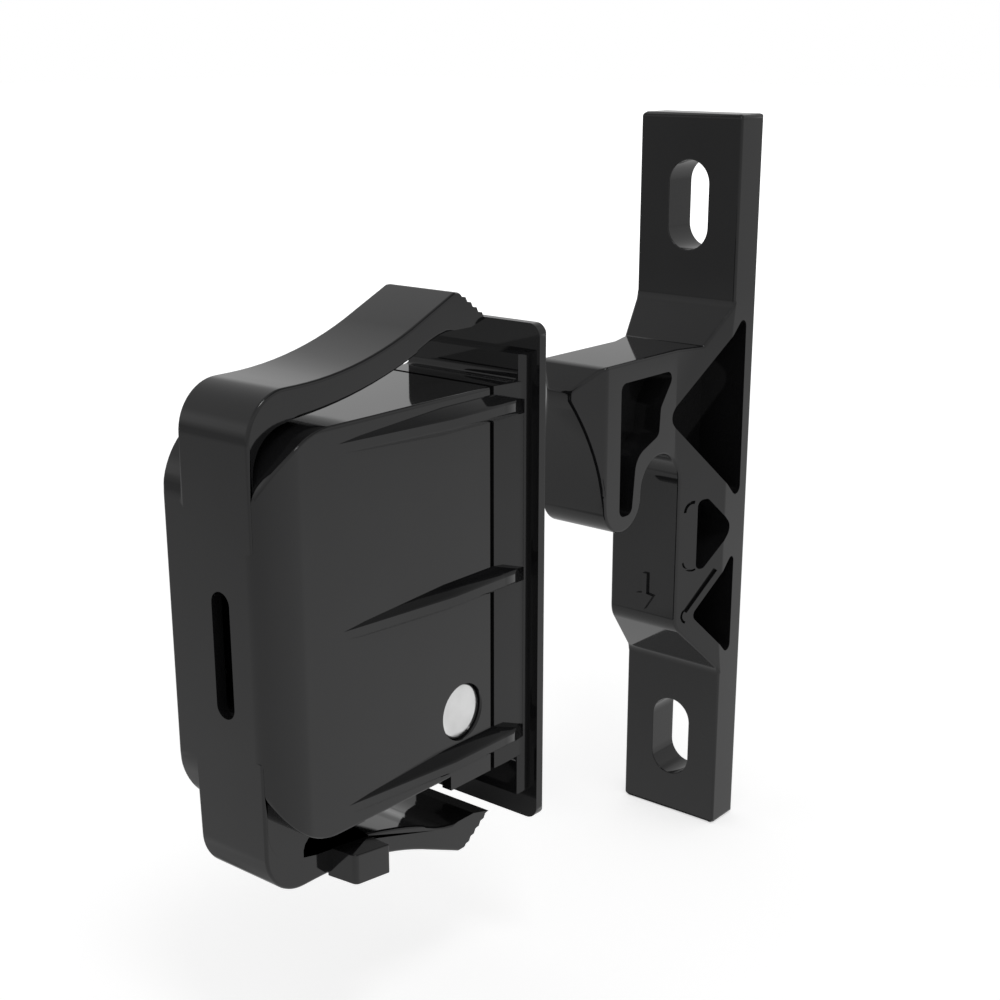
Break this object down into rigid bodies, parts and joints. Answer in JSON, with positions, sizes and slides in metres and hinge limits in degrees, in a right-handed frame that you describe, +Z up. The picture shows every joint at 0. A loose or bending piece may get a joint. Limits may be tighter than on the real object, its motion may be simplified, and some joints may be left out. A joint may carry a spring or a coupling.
{
  "type": "push-to-close latch",
  "caption": "Snap-in panel latch with an over-centre claw behind its flange and a separate hooked keeper bar; the hook pushes in to close and pulls out to open.",
  "frame": {"origin": "middle of the flange on its rear face, where the flange lies on the panel, on the latch's mid-plane", "axes": "+X points out of the panel from the latch toward the keeper, +Z is up along the keeper's long side, Y = 0 is the mid-plane of both pieces"},
  "size_m": [0.0796, 0.0176, 0.0895],
  "materials": {
    "black_plastic": "glossy moulded",
    "pin_steel": "ground and bevelled",
    "spring_steel": "drawn wire"
  },
  "bodies": {
    "latch_case": {"rear_housing": "black_plastic", "front_bezel": "black_plastic", "pivot_pin": "pin_steel"},
    "claw": {"catch_claw": "black_plastic"},
    "spring_unit": {"spring_plunger": "pin_steel", "spring_cup": "black_plastic", "toggle_spring": "spring_steel"},
    "keeper_bar": {"keeper": "black_plastic"}
  },
  "joints": [
    {"name": "claw_pivot", "type": "hinge", "parent": "latch_case", "child": "claw", "pos_m": [-0.0102, 0, -0.0114], "axis": [0, -1, 0], "range_deg": [0, 21.2]},
    {"name": "spring_rock", "type": "hinge", "parent": "latch_case", "child": "spring_unit", "pos_m": [-0.0316, 0, -0.0086], "axis": [0, -1, 0], "range_deg": [-10.03, 0]},
    {"name": "keeper_travel", "type": "slide", "parent": "latch_case", "child": "keeper_bar", "axis": [1, 0, 0], "range_m": [-0.0292, 0]}
  ],
  "couplings": [
    {"joint": "spring_rock", "follows": "claw_pivot", "ratio": -0.4722}
  ]
}
